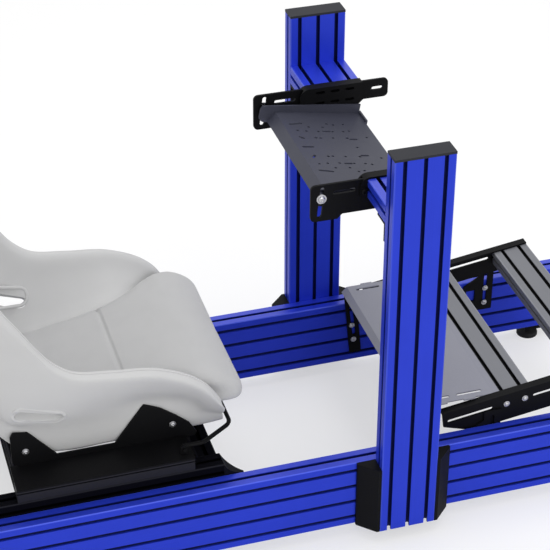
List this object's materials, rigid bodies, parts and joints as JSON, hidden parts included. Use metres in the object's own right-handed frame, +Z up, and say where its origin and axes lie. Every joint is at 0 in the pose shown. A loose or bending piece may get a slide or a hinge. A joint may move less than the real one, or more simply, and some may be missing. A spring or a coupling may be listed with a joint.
{
  "type": "sim racing cockpit",
  "caption": "Open sim racing frame of slotted blue extrusion with a sliding bucket seat, a tilted wheel deck between two uprights and a tilted pedal deck with heel plate.",
  "frame": {"origin": "centre of the overall box at floor level, below the middle of the frame", "axes": "+X forward to the pedals, +Y to the driver's left, +Z up"},
  "size_m": [1.64, 0.668, 1.062],
  "materials": {
    "blue_anodised_aluminium": "satin anodised",
    "black_plastic": "fine texture",
    "black_powder_coated_steel": "satin powder coat",
    "anthracite_powder_coated_steel": "satin powder coat",
    "grey_anodised_aluminium": "satin anodised",
    "black_anodised_aluminium": "satin anodised",
    "dark_zinc_steel": "dark zinc plated",
    "foot_rubber_and_steel": "matte",
    "pale_grey_shell": "satin gelcoat",
    "pale_grey_fabric": "knitted cover over foam"
  },
  "bodies": {
    "frame": {"base_beam_left": "blue_anodised_aluminium", "base_beam_right": "blue_anodised_aluminium", "upright_left": "blue_anodised_aluminium", "upright_right": "blue_anodised_aluminium", "deck_arm_left": "blue_anodised_aluminium", "deck_arm_right": "blue_anodised_aluminium", "beam_end_caps": "black_plastic", "upright_caps": "black_plastic", "upright_brackets_left": "black_powder_coated_steel", "upright_brackets_right": "black_powder_coated_steel", "arm_bracket_left": "black_powder_coated_steel", "arm_bracket_right": "black_powder_coated_steel", "deck_side_plate_left": "black_powder_coated_steel", "deck_side_plate_right": "black_powder_coated_steel", "deck_saddle_left": "black_powder_coated_steel", "deck_saddle_right": "black_powder_coated_steel", "pedal_side_rail_left": "black_powder_coated_steel", "pedal_side_rail_right": "black_powder_coated_steel", "pedal_brackets_left": "black_powder_coated_steel", "pedal_brackets_right": "black_powder_coated_steel", "heel_bracket_left": "black_powder_coated_steel", "heel_bracket_right": "black_powder_coated_steel", "foot_plates": "black_powder_coated_steel", "seat_bar_brackets": "black_powder_coated_steel", "wheel_deck": "anthracite_powder_coated_steel", "heel_plate": "anthracite_powder_coated_steel", "pedal_profile_rear": "grey_anodised_aluminium", "pedal_profile_front": "grey_anodised_aluminium", "seat_bar_left": "black_anodised_aluminium", "seat_bar_right": "black_anodised_aluminium", "seat_cross_member_front": "black_anodised_aluminium", "seat_cross_member_rear": "black_anodised_aluminium", "lower_slide_rail_left": "dark_zinc_steel", "lower_slide_rail_right": "dark_zinc_steel", "levelling_feet": "foot_rubber_and_steel"},
    "seat_carriage": {"seat_shell": "pale_grey_shell", "seat_cushion": "pale_grey_fabric", "seat_back_pad": "pale_grey_fabric", "upper_slide_rail_left": "dark_zinc_steel", "upper_slide_rail_right": "dark_zinc_steel", "seat_bracket_left": "black_powder_coated_steel", "seat_bracket_right": "black_powder_coated_steel", "release_lugs_left": "black_powder_coated_steel", "release_lugs_right": "black_powder_coated_steel"},
    "release_bar": {"release_bar": "black_powder_coated_steel"}
  },
  "joints": [
    {"name": "seat_slide", "type": "slide", "parent": "frame", "child": "seat_carriage", "axis": [1, 0, 0], "range_m": [-0.08, 0.08]},
    {"name": "release_hinge", "type": "hinge", "parent": "seat_carriage", "child": "release_bar", "pos_m": [-0.217, 0, 0.259], "axis": [0, -1, 0], "range_deg": [0, 12], "stiffness_Nm_per_rad": 3}
  ]
}
